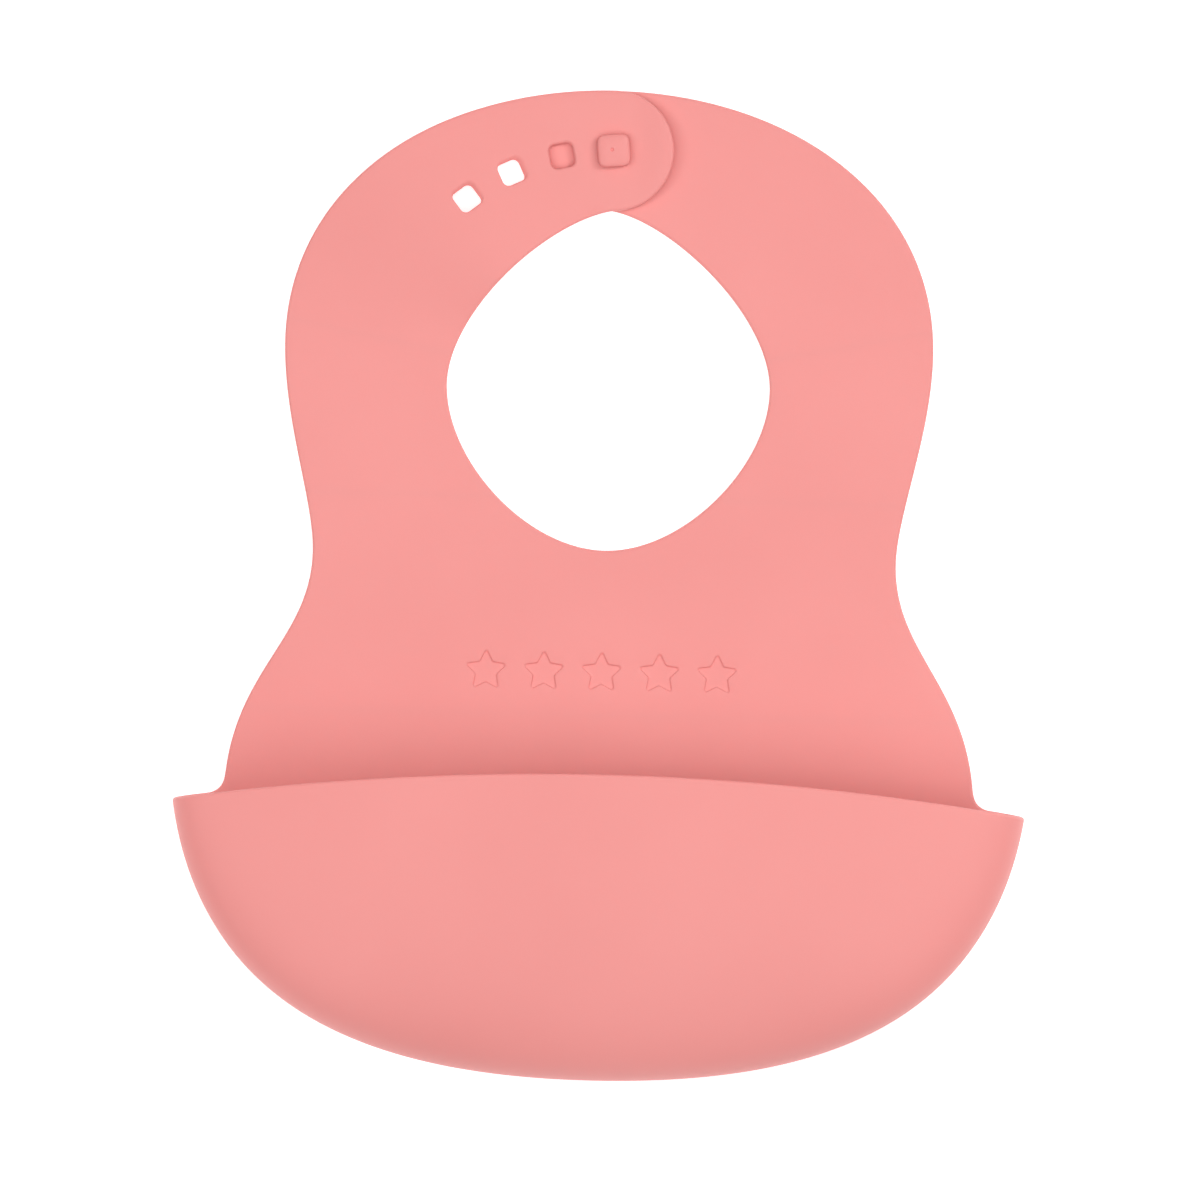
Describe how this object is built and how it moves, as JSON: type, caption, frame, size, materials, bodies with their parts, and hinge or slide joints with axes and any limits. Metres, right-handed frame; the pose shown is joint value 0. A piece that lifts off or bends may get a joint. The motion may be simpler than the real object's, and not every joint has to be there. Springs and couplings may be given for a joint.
{
  "type": "silicone bib",
  "caption": "Soft silicone feeding bib with an open catch pocket along its bottom, a round neck opening and an adjustable neck strap that buttons through square holes.",
  "frame": {"origin": "middle of the bib's outline, on the surface that it lies on", "axes": "+X across the bib to the wearer's left, +Y along it from the pocket to the collar, +Z out of its front face"},
  "size_m": [0.235, 0.274, 0.032],
  "materials": {
    "silicone": "matt moulded silicone rubber, salmon pink"
  },
  "bodies": {
    "lower_body": {"lower_panel": "silicone", "pocket_heel": "silicone", "pocket_bottom": "silicone", "pocket_side_right": "silicone", "pocket_side_left": "silicone"},
    "pocket_front": {"pocket_front": "silicone"},
    "chest": {"chest_panel": "silicone"},
    "collar_left": {"shoulder_left": "silicone"},
    "collar_right": {"shoulder_right": "silicone"},
    "hole_strap": {"hole_strap": "silicone"},
    "stud_strap": {"stud_strap": "silicone", "stud_post": "silicone", "stud_head": "silicone"}
  },
  "joints": [
    {"name": "pocket_mouth", "type": "hinge", "parent": "lower_body", "child": "pocket_front", "pos_m": [0, -0.11264, 0.02668], "axis": [1, 0, 0], "range_deg": [-14, 16], "stiffness_Nm_per_rad": 0.05},
    {"name": "belly_fold", "type": "hinge", "parent": "lower_body", "child": "chest", "pos_m": [0, -0.0074, 0.001], "axis": [-1, 0, 0], "range_deg": [-90, 90], "stiffness_Nm_per_rad": 0.01},
    {"name": "collar_fold", "type": "hinge", "parent": "chest", "child": "collar_left", "pos_m": [0, 0.05472, 0.001], "axis": [1, 0, 0], "range_deg": [-90, 60], "stiffness_Nm_per_rad": 0.008},
    {"name": "collar_fold_right", "type": "hinge", "parent": "chest", "child": "collar_right", "pos_m": [0, 0.05472, 0.001], "axis": [1, 0, 0], "range_deg": [-90, 60], "stiffness_Nm_per_rad": 0.008},
    {"name": "strap_peel", "type": "hinge", "parent": "collar_left", "child": "hole_strap", "pos_m": [0, 0.05472, 0.001], "axis": [0.9272, -0.3746, 0], "range_deg": [0, 95], "stiffness_Nm_per_rad": 0.004, "deforming": ["stud_head", "stud_post"]},
    {"name": "stud_strap_swing", "type": "hinge", "parent": "collar_right", "child": "stud_strap", "pos_m": [0, 0.05472, 0.001], "axis": [0.9272, 0.3746, 0], "range_deg": [-60, 0], "stiffness_Nm_per_rad": 0.004}
  ],
  "couplings": [
    {"joint": "collar_fold_right", "follows": "collar_fold", "ratio": 1}
  ]
}
